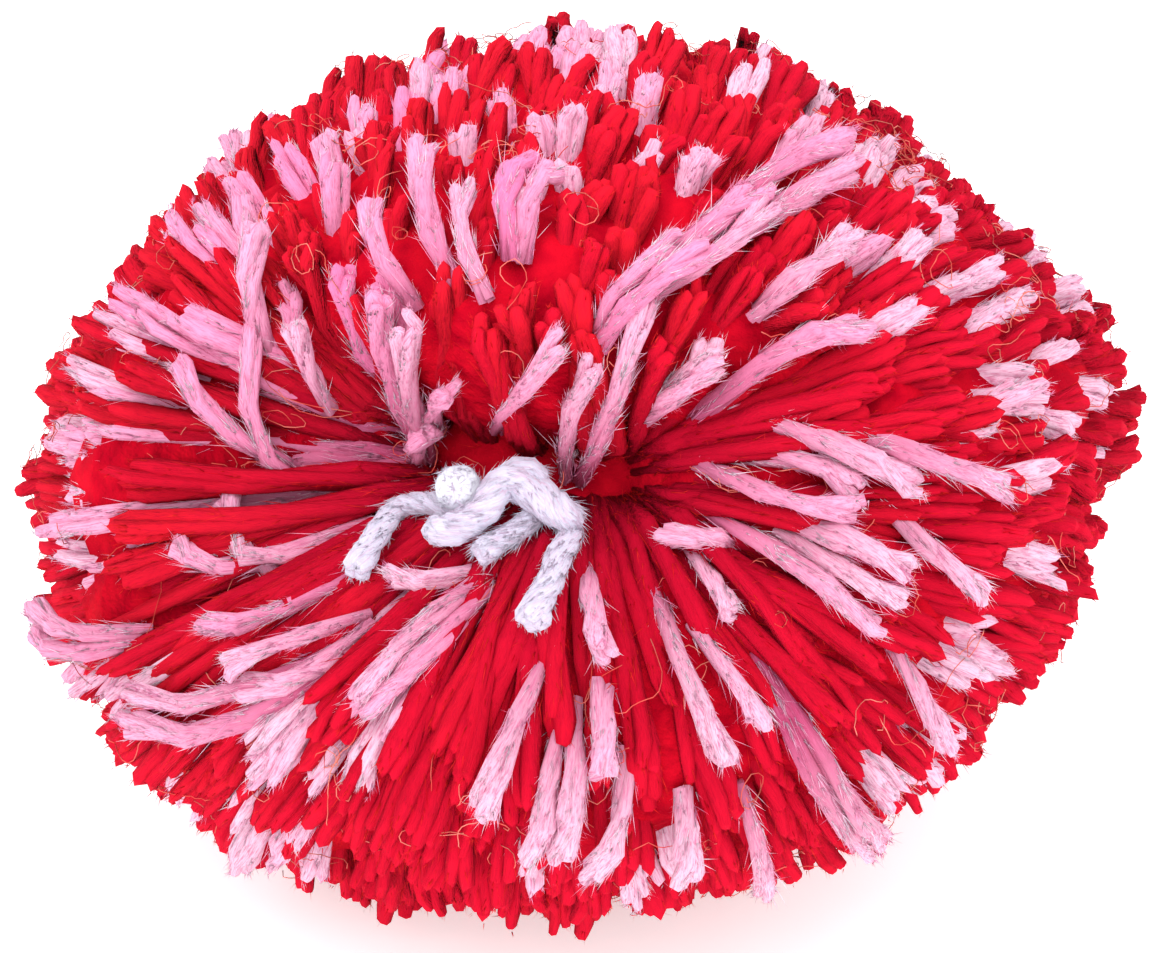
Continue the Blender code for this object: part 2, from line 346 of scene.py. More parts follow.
# %% Table of laid strands
Laid = namedtuple("Laid", "root middle tip strands")
LAID_STRANDS = [Laid(*row) for row in (
    # Above the tie
    ((-22, 33), (-12, 39), (-5, 43), 1),
    ((-6, 25), (-5, 34), (-2, 41), 1),
    ((-3, 25), (3, 36), (8, 46), 1),
    ((10, 36), (15, 38), (20, 40), 2),
    ((20, 34), (30, 39), (42, 38), 1),
    ((-42, 23), (-39, 35), (-33, 43), 2),
    ((-44, 21), (-39, 26), (-35, 30), 1),
    ((-41, 29), (-33, 33), (-25, 36), 1),
    ((-25, 48), (-33, 55), (-48, 63), 1),
    ((-18, 47), (-23, 53), (-31, 60), 1),
    ((-15, 53), (-15, 58), (-14, 63), 2),
    ((18, 53), (40, 57), (68, 55), 2),
    ((8, 48), (20, 53), (38, 57), 2),
    ((1, 44), (7, 48), (16, 52), 2),
    ((27, 44), (34, 45), (48, 47), 1),
    ((-33, 45), (-36, 49), (-41, 53), 1),
    # Right
    ((27, 32), (32, 26), (37, 21), 1),
    ((34, 30), (39, 23), (46, 18), 1),
    ((19, 28), (26, 24), (31, 20), 2),
    ((21, 15), (17, 16), (12, 17), 1),
    ((18, 20), (25, 15), (31, 8), 1),
    ((26, 18), (30, 15), (34, 12), 2),
    ((16, 14), (17, 11), (18, 9), 1),
    ((36, 20), (38, 14), (40, 9), 1),
    ((33, 6), (34, 0), (38, -8), 1),
    # Below
    ((9, 9), (11, 2), (13, -5), 1),
    ((13, 6), (15, 3), (17, -1), 1),
    ((-1, 12), (0, 9), (0, 5), 1),
    ((-5, 5), (-9, -2), (-12, -8), 1),
    ((-14, 12), (-21, 11), (-28, 9), 1),
    ((-15, 10), (-20, 5), (-26, -1), 2),
    ((20, 3), (25, -9), (33, -22), 2),
    ((16, -10), (19, -20), (22, -31), 1),
    ((10, -9), (9, -13), (9, -20), 1),
    ((4, -5), (2, -11), (0, -17), 1),
    ((1, 1), (1, -2), (1, -5), 1),
    ((-3, -1), (-3, -7), (-4, -14), 2),
    # Left
    ((-34, 8), (-40, 3), (-48, 0), 1),
    ((-30, 4), (-35, 1), (-41, -2), 2),
    ((-31, 1), (-41, -5), (-53, -9), 2),
    ((-39, 12), (-49, 8), (-55, 11), 1),
    ((-48, 4), (-53, 8), (-57, 12), 1),
    ((-49, 5), (-53, 4), (-57, 6), 1),
    ((-53, 13), (-57, 20), (-62, 34), 1),
    ((-56, 15), (-60, 20), (-65, 25), 1),
    ((-56, 26), (-57, 32), (-57, 38), 2),
    ((-63, 31), (-63, 37), (-66, 43), 1),
    ((-56, -4), (-60, -4), (-65, -4), 2),
)]
print(len(LAID_STRANDS), "rows of laid strands")

# %% Routes of laid strands
LAID_LIFTS = np.array((-2.6, 1.0, 1.0)) * MM
LAID_ROOM = 1.3 * MM
LAID_SHOWS_FROM, LAID_SPOTS = 0.3, 8
SIDE_STEP = 1.9 * MM
SIDE_FAN = np.array((0.4, 1.0, 1.1))


def through(points, shares):
    """Smooth lines through each row of points, at shares of the way along it."""
    last = points.shape[1] - 1
    before, after = 2 * points[:, :1] - points[:, 1:2], 2 * points[:, -1:] - points[:, -2:-1]
    more = np.concatenate([before, points, after], 1)
    step = np.clip(np.floor(shares * last), 0, last - 1).astype(int)
    t = (shares * last - step)[..., None]
    a, b, c, d = (more[np.arange(len(points))[:, None], step + k] for k in range(4))
    return b + 0.5 * t * (c - a + t * (2 * a - 5 * b + 4 * c - d + t * (3 * (b - c) + d - a)))


def laid_points():
    """The three points of each laid strand, those of a row side by side."""
    rows = []
    for laid in LAID_STRANDS:
        ways = direction(*np.array((laid.root, laid.middle, laid.tip), dtype=float).T)
        line = on_pile(ways) + ways * LAID_LIFTS[:, None]
        sideways = unit(np.cross(ways[1], line[2] - line[0]))
        for k in range(laid.strands):
            step = (k - (laid.strands - 1) / 2) * SIDE_STEP
            rows.append(line + sideways * (SIDE_FAN * step)[:, None])
    return np.array(rows)


laid = laid_points()
laid_shares = np.linspace(LAID_SHOWS_FROM, 1.0, LAID_SPOTS)
laid_line = through(laid, np.tile(laid_shares, (len(laid), 1))).reshape(-1, 3)
clear = [np.sqrt(((laid_line - place) ** 2).sum(1)).min() > LAID_ROOM for place in end_place + push]
ends, end_way, end_place, end_white, push = (
    part[np.array(clear)] for part in (ends, end_way, end_place, end_white, push))
print(len(laid), "laid strands,", len(ends), "upright ones")

# %% [markdown]
# ## One lock of fibres
# Brushed yarn isn't a smooth cord: it opens into locks of fibres, most of all at the cut end. One lock is
# modelled: a filled circle is extruded ring by ring and scaled at each ring. It widens slowly,
# narrows near its end, and its last ring is merged to a point. With six sides and so few rings it stays
# light enough to be copied thousands of times. It is then read out as arrays. A copy stretches its height
# to the strand's own length, so only the shares of the heights count.

# %% Model one lock
Ring = namedtuple("Ring", "height girth")
LOCK_SIDES = 6
LOCK_LENGTH = 26.0
LOCK_RINGS = (Ring(0.0, 0.75), Ring(9.0, 0.88), Ring(17.0, 0.98), Ring(24.2, 1.04), Ring(25.6, 0.74))


def deselect_all():
    """Leaves nothing selected, so that an operator acts only on what comes next."""
    if bpy.context.object and bpy.context.object.mode != "OBJECT":
        bpy.ops.object.mode_set(mode="OBJECT")
    bpy.ops.object.select_all(action="DESELECT")


def model_fibre(sides, rings, tip_height):
    """A closed pointed tube standing on the origin, its rings at the given heights and girths."""
    deselect_all()
    bpy.ops.mesh.primitive_circle_add(vertices=sides, radius=rings[0].girth, fill_type="NGON")
    bpy.ops.object.mode_set(mode="EDIT")
    for before, ring in zip(rings, rings[1:]):
        step = (0.0, 0.0, ring.height - before.height)
        bpy.ops.mesh.extrude_region_move(TRANSFORM_OT_translate={"value": step})
        grow = ring.girth / before.girth
        bpy.ops.transform.resize(value=(grow, grow, 1.0), center_override=(0.0, 0.0, ring.height))
    last = (0.0, 0.0, tip_height - rings[-1].height)
    bpy.ops.mesh.extrude_region_move(TRANSFORM_OT_translate={"value": last})
    bpy.ops.mesh.merge(type="CENTER")
    bpy.ops.mesh.select_all(action="SELECT")
    bpy.ops.mesh.normals_make_consistent(inside=False)
    bpy.ops.object.mode_set(mode="OBJECT")
    return bpy.context.object


print("a lock has", LOCK_SIDES, "sides and", len(LOCK_RINGS), "rings")

# %% Read a modelled fibre
Pattern = namedtuple("Pattern", "shares ring turn girth corners starts u v")
CAP_ROOM = 0.02
CAP_MIDDLE, CAP_WIDTH = 0.5, 0.4


def read_pattern(fibre, tip_height):
    """A modelled fibre as arrays, ready to be copied along routes. Removes the fibre."""
    mesh = fibre.data
    co = np.array([v.co for v in mesh.vertices])
    heights, ring = np.unique(np.round(co[:, 2], 4), return_inverse=True)
    turn = np.arctan2(co[:, 1], co[:, 0]) / math.tau % 1.0
    corners = np.array([loop.vertex_index for loop in mesh.loops])
    starts = np.array([face.loop_start for face in mesh.polygons])
    u, v = turn[corners].copy(), (co[:, 2] / tip_height)[corners]
    pointed = ring[corners] == len(heights) - 1
    for face in mesh.polygons:
        loops = np.array(face.loop_indices)
        if np.ptp(v[loops]) == 0.0:
            v[loops] = CAP_ROOM * np.sin(math.tau * u[loops]) + CAP_ROOM
            u[loops] = CAP_MIDDLE + CAP_WIDTH * np.cos(math.tau * u[loops])
            continue
        rim = loops[~pointed[loops]]
        if np.ptp(u[rim]) > 0.5:
            u[rim] += u[rim] < 0.5
        u[loops[pointed[loops]]] = u[rim].mean()
    girth = np.hypot(co[:, 0], co[:, 1])
    bpy.data.objects.remove(fibre)
    return Pattern(heights / tip_height, ring, turn, girth, corners, starts, u, v)


lock = read_pattern(model_fibre(LOCK_SIDES, LOCK_RINGS, LOCK_LENGTH), LOCK_LENGTH)
print(len(lock.starts), "faces in one lock")

# %% [markdown]
# ## Copying along routes
# Thousands of objects would be slow to handle, so copies are joined as they are made: their vertices,
# faces and maps are worked out as arrays and become one mesh. Each mesh keeps two maps. One is for the
# fibre pattern: u goes once round the copy and v counts real millimetres along it. In the other every
# copy has a spot of its own, for baking. Where a face spans the seam, u counts on past 1, and TURN_ROOM
# leaves space for that.

# %% Sides and maps


def sides_along(centres):
    """Two side vectors at each point of each route."""
    ahead = unit(np.gradient(centres, axis=1))
    seed = np.cross(ahead.mean(1), dice.normal(size=(len(centres), 3)))
    side = unit(np.cross(ahead, unit(seed)[:, None]))
    return side, np.cross(ahead, side)


def add_map(mesh, name, u, v):
    """A UV map from arrays of both coordinates."""
    layer = mesh.uv_layers.new(name=name, do_init=False)
    layer.uv.foreach_set("vector", np.stack([u, v], -1).astype(np.float32).ravel())


def add_value(piece, name, values):
    """A number for each vertex, which the shader reads by name."""
    layer = piece.data.attributes.new(name, "FLOAT", "POINT")
    layer.data.foreach_set("value", np.ascontiguousarray(values, dtype=np.float32).ravel())


print("each copy gets one map to show its fibres and one to bake on")

# %% Lay copies along routes
SPOT_MARGIN = 0.08
TURN_ROOM = 1.25
MAP_SHIFT = 0.37


def lay_copies(name, pattern, centres, girths, lumps=0.0):
    """Joins a copy of the pattern along each route into one object. Girths are radii."""
    copies = np.arange(len(centres))[:, None]
    side, other = sides_along(centres)
    ring = pattern.ring
    angle = math.tau * (pattern.turn + dice.random((len(centres), 1)))
    radius = girths.reshape(len(centres), -1)
    radius = radius[:, ring] if radius.shape[1] > 1 else radius
    radius = radius * pattern.girth * (1.0 + lumps * dice.normal(size=(len(centres), len(ring))))
    spots = (centres[:, ring] + side[:, ring] * (radius * np.cos(angle))[..., None]
             + other[:, ring] * (radius * np.sin(angle))[..., None])
    spots[..., 2] = np.maximum(spots[..., 2], 0.0)
    mesh = bpy.data.meshes.new(name)
    mesh.vertices.add(spots.shape[0] * spots.shape[1])
    mesh.vertices.foreach_set("co", spots.ravel())
    corners = pattern.corners + copies * len(ring)
    mesh.loops.add(corners.size)
    mesh.loops.foreach_set("vertex_index", corners.ravel())
    starts = pattern.starts + copies * len(pattern.corners)
    mesh.polygons.add(starts.size)
    mesh.polygons.foreach_set("loop_start", starts.ravel())
    mesh.update(calc_edges=True)
    length = np.linalg.norm(np.diff(centres, axis=1), axis=2).sum(1)[:, None] / MM
    add_map(mesh, "yarn", pattern.u + copies * MAP_SHIFT, pattern.v * length)
    grid = math.ceil(math.sqrt(len(centres)))
    inside = SPOT_MARGIN + (1.0 - 2.0 * SPOT_MARGIN) * np.stack([pattern.u / TURN_ROOM, pattern.v])
    add_map(mesh, "OFBake", (copies % grid + inside[0]) / grid, (copies // grid + inside[1]) / grid)
    mesh.shade_smooth()
    made = bpy.data.objects.new(name, mesh)
    bpy.context.scene.collection.objects.link(made)
    print(f"{name}: {len(centres)} copies, {len(mesh.loops) - 2 * len(mesh.polygons)} triangles")
    return made


print("a copy fills", round(1.0 - 2.0 * SPOT_MARGIN, 2), "of its spot on the baking map")

# %% [markdown]
# ## From strands to locks
# Three locks twist slowly round each other in a strand and spread where it was cut. Their lengths differ
# a little, so the cut end is ragged. What the fuzz and the shader need later is kept beside the routes:
# the way out of the strand, the thickness, the length, and how much of the strand shows.

# %% Turn centre lines into locks
LOCKS = 3
LOCK_RADIUS = 0.66 * MM
LOCK_OFFSET = 0.38 * MM
FLARE = 0.30 * MM
WOBBLE = 0.11 * MM
RAGGED = 0.45 * MM
PLY_TURNS, PLY_STRAY = 0.8, 0.05
FLARE_FROM = 0.7
THINNEST, THICKEST = 0.85, 1.2
FLOOR_CLEARANCE = 0.5 * MM

Locks = namedtuple("Locks", "centres outward girths lengths shares shown")


def locks_of(strands, route, lengths, shown, girth):
    """Locks of strands whose centre lines are route(rows, shares)."""
    rows = np.repeat(np.arange(strands), LOCKS)
    ragged = 1.0 + dice.normal(size=len(rows)) * RAGGED / lengths[rows]
    shares = lock.shares * ragged[:, None]
    centres = route(rows, shares)
    side = np.repeat(sides_along(centres[::LOCKS])[0], LOCKS, 0)
    other = np.cross(unit(np.gradient(centres, axis=1)), side)
    place = np.tile(np.arange(LOCKS) / LOCKS, strands) + dice.normal(size=len(rows)) * PLY_STRAY
    turn = math.tau * (place[:, None] + PLY_TURNS * shares)[..., None]
    outward = side * np.cos(turn) + other * np.sin(turn)
    offset = (LOCK_OFFSET + FLARE * ramp(shares, FLARE_FROM, 1.0)) * girth[rows][:, None]
    centres = centres + outward * offset[..., None] + dice.normal(size=centres.shape) * WOBBLE
    centres[..., 2] = np.maximum(centres[..., 2], FLOOR_CLEARANCE)
    girths = LOCK_RADIUS * girth[rows] * dice.uniform(THINNEST, THICKEST, len(rows))
    return Locks(centres, outward, girths, lengths[rows], shares, shown[rows])


print("a strand has", LOCKS, "locks, each about", round(2 * LOCK_RADIUS / MM, 1), "mm thick")

# %% [markdown]
# ## Every strand its own way
# Lengths vary by a few millimetres, as scissors leave them. Each strand leans by its push and bows by
# itself. Whatever would then stand out of the pile is pushed back in, as trimming would do. White
# strands are sunk towards their roots, so that the red ones cross over them and mostly their ends show.

# %% Bends and trims
TRIM, MOST_TRIM = 0.2 * MM, 2.5 * MM
SINK, SINK_FROM_TIP = 2.8 * MM, (4.2 * MM, 9.0 * MM)
SINK_LESS_BEHIND = 0.4
LEAN_CURVE = 1.5


def sunk(centres, rows, shares):
    """White strands dip below the red ones towards their roots, so mostly their ends show."""
    from_tip = (1.0 - shares) * end_length[rows][:, None]
    dip = SINK * (1.0 - SINK_LESS_BEHIND * far_out(end_way[rows]))[:, None] * end_white[rows][:, None]
    dip = dip * ramp(from_tip, *SINK_FROM_TIP)
    return centres - unit(centres - MIDDLE) * dip[..., None]


def trimmed(centres, shares):
    """Centre lines pushed in until they are inside the pile, as scissors would leave them."""
    ways = centres - MIDDLE
    reach = np.linalg.norm(ways, axis=-1, keepdims=True)
    limit = pile_reach((ways / reach).reshape(-1, 3)).reshape(reach.shape) - TRIM
    excess = np.clip((reach - limit).max(1, keepdims=True), 0.0, MOST_TRIM)
    return centres - ways / reach * excess * np.clip(2.0 * shares, 0.0, 1.0)[..., None]


def bowed(centres, rows, shares, push, bow):
    """Centre lines leaned by a push at the cut end and bowed in the middle."""
    lean = push[rows][:, None] * (np.abs(shares) ** LEAN_CURVE)[..., None]
    return centres + lean + bow[rows][:, None] * np.sin(math.pi * shares)[..., None]


def upright(rows, shares):
    """Centre lines of the strands that end all over the pile."""
    centres = bowed(natural_routes(end_way[rows], end_tip[rows], shares), rows, shares, push, bow)
    return sunk(trimmed(centres, shares), rows, shares)


def lying(rows, shares):
    """Centre lines of the strands that lie across others."""
    return bowed(through(laid[rows], shares), rows, shares, laid_push, laid_bow)


print("scissors push a strand in by", MOST_TRIM / MM, "mm at most")

# %% Lay the strands
TIP_INSET = 0.3 * MM
SHORTER = 0.5 * MM
SHOWN_TIP = 5.0 * MM
BOW, LAID_BOW = 1.0 * MM, 0.4 * MM
GIRTHS, LAID_GIRTHS = (0.82, 1.15), (0.8, 1.05)

end_tip = pile_reach(end_way) - TIP_INSET - np.abs(dice.normal(size=len(ends))) * SHORTER
end_length = made_length(end_way, end_tip)
bow = dice.normal(size=end_place.shape) * BOW
laid_push = dice.normal(size=(len(laid), 3)) * LAID_BOW
laid_bow = dice.normal(size=(len(laid), 3)) * LAID_BOW
laid_length = np.linalg.norm(np.diff(laid, axis=1), axis=2).sum(1)
end_shown = SHOWN_TIP + near_parting(end_way) * (end_length - SHOWN_TIP)

upright_locks = locks_of(len(ends), upright, end_length, end_shown, dice.uniform(*GIRTHS, len(ends)))
laid_locks = locks_of(len(laid), lying, laid_length, laid_length, dice.uniform(*LAID_GIRTHS, len(laid)))
locks = Locks(*(np.concatenate(pair) for pair in zip(upright_locks, laid_locks)))
print(len(locks.girths) // LOCKS, "strands")

# %% [markdown]
# ## Two colours and two halves
# Each lock needs to know its strand's colour and its half of the ball, which keeps every mesh a size that
# opens quickly. The waist's plane parts the halves. They are named along its normal, which points down
# and to the front, so the half called upper, at the normal's end, is the one that lies below the tie.
# Each strand also gets a tone. About half of it is painted light, and depends on where the strand is: on the
# upper left side, where the light falls, the white is painted pinker and the red brighter. The other half is
# chance, a tone that differs at random from strand to strand.

# %% Sort the locks
# The upper left side, where the light falls: painted light makes white strands there pinker and red ones
# brighter.
LIT_SIDE, LIT_SIDE_SHARE = (-50.0, 55.0), 0.55

is_white = np.repeat(np.concatenate([end_white, np.ones(len(laid), bool)]), LOCKS)
middle_way = unit(np.concatenate([end_place, laid[:, 1]]) - MIDDLE)
is_upper = np.repeat(middle_way @ waist_normal > 0.0, LOCKS)
lit_side_facing = np.clip(middle_way @ direction(*LIT_SIDE), 0.0, 1.0)
tone_and_lit_side = np.repeat((1.0 - LIT_SIDE_SHARE) * dice.random(len(middle_way)) + LIT_SIDE_SHARE * lit_side_facing, LOCKS)
halves = {"upper": is_upper, "lower": ~is_upper}
print(is_white.sum() // LOCKS, "white strands,", is_upper.sum() // LOCKS, "strands at the normal's end")

# %% [markdown]
# ## Strand objects
# Red and white strands are separate objects, each in two halves. Each vertex keeps how far it is from the
# cut end, in millimetres, which sets the painted shade, and its strand's tone, half of it painted light,
# for the material to read.

# %% Strand objects
LUMPS = 0.08


def lay_strands(name, chosen):
    """The chosen locks as one object, with what the shader needs to know."""
    piece = lay_copies(name, lock, locks.centres[chosen], locks.girths[chosen], LUMPS)
    from_tip = (1.0 - locks.shares[chosen]) * locks.lengths[chosen][:, None]
    add_value(piece, "from_tip", from_tip[:, lock.ring] / MM)
    add_value(piece, "tone_and_lit_side", np.repeat(tone_and_lit_side[chosen], len(lock.ring)))
    return piece


red_strands = [lay_strands(f"red_strands_{half}", ~is_white & inside) for half, inside in halves.items()]
white_strands = [lay_strands(f"white_strands_{half}", is_white & inside) for half, inside in halves.items()]

# %% [markdown]
# ## The tie
# A length of white yarn binds the waist. In front its knot shows, with three loose ends and a small ball
# where a fourth was wound up. The places and girths along it are those of the solid model: azimuth and
# elevation in degrees, and the lift over the pile and the girth in yarn widths. Four fat locks twist
# tightly round each other along each route.

# %% Tie routes
YARN = 2.6 * MM
TIE_CLEARANCE = 0.55 * MM
NORMAL_STEP = 4.0
TiePoint = namedtuple("TiePoint", "azimuth elevation lift girth")
TIE_ROUTES = {
    "knot_left": (
        (-24.0, 12.5, 0.45, 0.85), (-21.0, 12.5, 0.55, 1.00), (-19.0, 13.5, 0.6, 0.95),
        (-17.5, 15.0, 0.65, 1.10), (-16.5, 19.0, 0.65, 1.00), (-12.5, 26.0, 0.5, 1.15),
        (-9.0, 24.5, 0.3, 1.00),
    ),
    "knot_right": (
        (-15.5, 23.5, 0.3, 0.90), (-11.5, 20.5, 0.5, 1.05), (-7.5, 17.0, 0.5, 1.10), (-5.0, 16.0, 0.35, 1.00),
        (-2.5, 16.5, 0.1, 0.75),
    ),
    "end_under": (
        (-8.5, 18.5, 0.1, 0.70), (-10.5, 16.5, 0.05, 0.70), (-12.5, 14.5, 0.1, 0.70),
        (-15.0, 13.0, 0.15, 0.75), (-16.5, 11.5, 0.25, 0.90),
    ),
    "end_down": (
        (-4.5, 17.0, 0.15, 0.70), (-3.5, 14.5, 0.1, 0.70), (-5.0, 12.5, 0.1, 0.80), (-6.0, 10.0, 0.15, 0.80),
        (-7.0, 8.0, 0.2, 0.90), (-7.5, 6.0, 0.2, 1.20),
    ),
    "end_left": (
        (-20.5, 15.5, 0.2, 0.80), (-25.0, 16.0, 0.2, 0.70), (-30.0, 16.0, 0.05, 0.70),
        (-33.5, 14.5, 0.05, 0.70), (-33.0, 12.5, 0.15, 0.75), (-32.5, 10.0, 0.2, 0.80),
        (-32.0, 7.5, 0.2, 1.05),
    ),
}
BALL_END = (-22.0, 16.0, 0.75, 1.33)


def over_pile(point):
    """Where a point of the tie is, out along the pile's normal, and the yarn's radius there."""
    corners = np.array(((0, 0), (-1, -1), (1, -1), (1, 1), (-1, 1))) * NORMAL_STEP
    spots = on_pile(direction(point.azimuth + corners[:, 0], point.elevation + corners[:, 1]))
    normal = unit(np.cross(spots[3] - spots[1], spots[4] - spots[2]))
    lift = TIE_CLEARANCE + (point.lift + point.girth / 2) * YARN
    return *(spots.mean(0) + normal * lift), point.girth * YARN / 2


tie_lines = [np.array([over_pile(TiePoint(*row)) for row in rows]) for rows in TIE_ROUTES.values()]
for name, line in zip(TIE_ROUTES, tie_lines):
    print(name, round(np.linalg.norm(np.diff(line[:, :3], axis=0), axis=1).sum() / MM, 1), "mm")

# %% Tie locks
TIE_LOCKS, TIE_SIDES = 4, 7
TIE_LOCK_OUT, TIE_LOCK_GIRTH = 0.45, 0.6
TIE_TURN_EVERY = 6.5 * MM
TIE_RING_COUNT = 15
TIE_END_BACK, TIE_END_GIRTH = 0.35, 0.8
TIE_SHOWN = 10.0 * MM
TIE_LUMPS = 0.05

tie_rings = [Ring(k, 1.0) for k in range(TIE_RING_COUNT)]
tie_rings.append(Ring(TIE_RING_COUNT - TIE_END_BACK, TIE_END_GIRTH))
tie_lock = read_pattern(model_fibre(TIE_SIDES, tie_rings, float(TIE_RING_COUNT)), float(TIE_RING_COUNT))


def tie_locks():
    """Locks that twist along each of the tie's routes."""
    centres, outward, girths = [], [], []
    for line in tie_lines:
        run = through(line[None], tie_lock.shares[None])
        length = np.linalg.norm(np.diff(run[0, :, :3], axis=0), axis=1).sum()
        side, other = sides_along(run[..., :3])
        for k in range(TIE_LOCKS):
            turn = math.tau * (k / TIE_LOCKS + tie_lock.shares * length / TIE_TURN_EVERY)[:, None]
            out = side[0] * np.cos(turn) + other[0] * np.sin(turn)
            centres.append(run[0, :, :3] + out * run[0, :, 3:] * TIE_LOCK_OUT)
            outward.append(out)
            girths.append(run[0, :, 3] * TIE_LOCK_GIRTH)
    length = np.full(len(girths), TIE_SHOWN)
    return Locks(np.array(centres), np.array(outward), np.array(girths), length,
                 np.tile(tie_lock.shares, (len(girths), 1)), length)


tied = tie_locks()
tie = lay_copies("tie_yarn", tie_lock, tied.centres, tied.girths, TIE_LUMPS)
add_value(tie, "from_tip", np.zeros(len(tie.data.vertices)))
add_value(tie, "tone_and_lit_side", np.zeros(len(tie.data.vertices)))

# %% [markdown]
# ## The ball on the tie
# One end was rolled up and felted into a ball. An ico sphere has no poles, and a Displace modifier with a
# cloud texture makes it as uneven as felted fibres are. The modifier is applied, so the shape is real.

# %% Ball
BALL_LUMPS, BALL_LUMP_SIZE = 0.35 * MM, 1.3 * MM
BALL_CUTS = 4

*ball_place, ball_radius = over_pile(TiePoint(*BALL_END))
deselect_all()
bpy.ops.mesh.primitive_ico_sphere_add(subdivisions=BALL_CUTS, radius=ball_radius, location=ball_place)
ball = bpy.context.object
ball.name = "tie_ball"
bpy.ops.object.transform_apply(location=True, rotation=True, scale=True)
lumps = bpy.data.textures.new("ball_lumps", "CLOUDS")
lumps.noise_scale = BALL_LUMP_SIZE
uneven = ball.modifiers.new("lumps", "DISPLACE")
uneven.texture = lumps
uneven.strength = BALL_LUMPS
bpy.ops.object.modifier_apply(modifier="lumps")
bpy.ops.object.shade_smooth()
print("ball", round(ball_radius / MM * 2, 1), "mm across")

# %% [markdown]
# ## Fuzz
# Brushed acrylic is covered in short fibres. Rather more than half lie along the strand and give it its
# streaks. The rest stand off it as a halo, and some reach past each cut end like a brush. One fibre is a
# three-sided spike of only four faces, because there are more than a hundred thousand. Fibres that stand
# are shorter and finer than those that lie, and pinker on white yarn, as the red shines through them.
# They start on the outer side of their lock. White strands get more of them, because they show most
# there, and the side that isn't seen gets fewer.

# %% One spike, laid many times
SPIKE_SIDES = 3
FUZZ_RADIUS = 0.042 * MM
STANDING_SHARE = 0.45
LYING_LENGTH, STANDING_LENGTH = 1.4 * MM, 0.5 * MM
LYING_ASIDE, STANDING_ASIDE = (0.02, 0.18), (0.2, 1.2)
LYING_STRAY, STANDING_STRAY = 0.15, 0.35
LYING_GIRTH, STANDING_GIRTH = 1.1, 0.5
AHEAD = (0.5, 1.1)
BRUSH, BRUSH_VARIES = 0.6 * MM, (0.4, 1.2)
GIRTH_VARIES = (0.7, 1.2)
LENGTH_EVENNESS = 4.0
FUZZ_ABOVE_FLOOR = 0.1 * MM
spike = read_pattern(model_fibre(SPIKE_SIDES, (Ring(0.0, 1.0),), 1.0), 1.0)


def lay_fibres(name, base, out, ahead, from_end, size=1.0):
    """Fine straight fibres from points of a strand, most of them lying along it and some standing off."""
    count = len(base)
    stands = dice.random((count, 1)) < STANDING_SHARE
    standing_aside = dice.uniform(*STANDING_ASIDE, (count, 1))
    aside = np.where(stands, standing_aside, dice.uniform(*LYING_ASIDE, (count, 1)))
    stray = dice.normal(size=out.shape) * np.where(stands, STANDING_STRAY, LYING_STRAY)
    way = unit(out * aside + ahead * dice.uniform(*AHEAD, (count, 1)) + stray)
    varied = dice.gamma(LENGTH_EVENNESS, 1 / LENGTH_EVENNESS, (count, 1))
    length = np.where(stands, STANDING_LENGTH, LYING_LENGTH) * varied * size
    length = np.minimum(length, from_end[:, None] + BRUSH * dice.uniform(*BRUSH_VARIES, (count, 1)))
    fibres = np.stack([base, base + way * length], 1)
    fibres[..., 2] = np.maximum(fibres[..., 2], FUZZ_ABOVE_FLOOR)
    girth = np.where(stands, STANDING_GIRTH, LYING_GIRTH)[:, 0]
    radius = FUZZ_RADIUS * girth * dice.uniform(*GIRTH_VARIES, count)
    fuzz = lay_copies(name, spike, fibres, radius)
    add_value(fuzz, "standing", np.repeat(stands[:, 0], len(spike.ring)))
    return fuzz


print("a fibre has", len(spike.starts), "faces")

# %% Where on the strands it grows
TOWARDS_TIP = 1.25
LOWEST_START = 0.97
OUT_OF_BALL, OUT_STRAY = 0.6, 0.5
ON_SKIN, SUNK_AT_END = 0.95, 0.5
END_ZONE = 1.0 * MM


def lay_fuzz(name, source, weight, count, size=1.0):
    """Fuzz over the part of the locks that shows, densest at the cut ends."""
    pick = dice.choice(len(weight), count, p=weight / weight.sum())
    back = dice.uniform(0.0, 1.0, count) ** TOWARDS_TIP * source.shown[pick] / source.lengths[pick]
    shares = source.shares[pick]
    where = shares[:, -1] * (1.0 - np.clip(back, 0.0, LOWEST_START))
    step = np.clip((shares < where[:, None]).sum(1) - 1, 0, shares.shape[1] - 2)
    each = np.arange(count)
    t = ((where - shares[each, step]) / (shares[each, step + 1] - shares[each, step]))[:, None]
    route = source.centres[pick]
    base = route[each, step] * (1.0 - t) + route[each, step + 1] * t
    ahead = unit(route[each, step + 1] - route[each, step])
    stray = dice.normal(size=(count, 3)) * OUT_STRAY
    out = unit(unit(base - MIDDLE) * OUT_OF_BALL + source.outward[pick][each, step] + stray)
    out = unit(out - ahead * (out * ahead).sum(1)[:, None])
    girths = source.girths[pick].reshape(count, -1).mean(1)
    from_end = (shares[:, -1] - where) * source.lengths[pick]
    at_end = 1.0 - ramp(from_end, 0.0, END_ZONE)[:, None]
    base = base + out * girths[:, None] * (ON_SKIN - SUNK_AT_END * at_end)
    return lay_fibres(name, base, out, ahead, from_end, size)


print("in the last", END_ZONE / MM, "mm of a strand the fibres start deeper, so they spread like a brush")

# %% Lay the fuzz
FUZZ_FIBRES = 140000
WHITE_FUZZ, FAR_FUZZ = 3.6, 0.4
TIE_FIBRES, TIE_FUZZ_SIZE = 3600, 0.7
BALL_FIBRES, BALL_FUZZ_SIZE, BALL_SKIN = 900, 0.6, 0.97

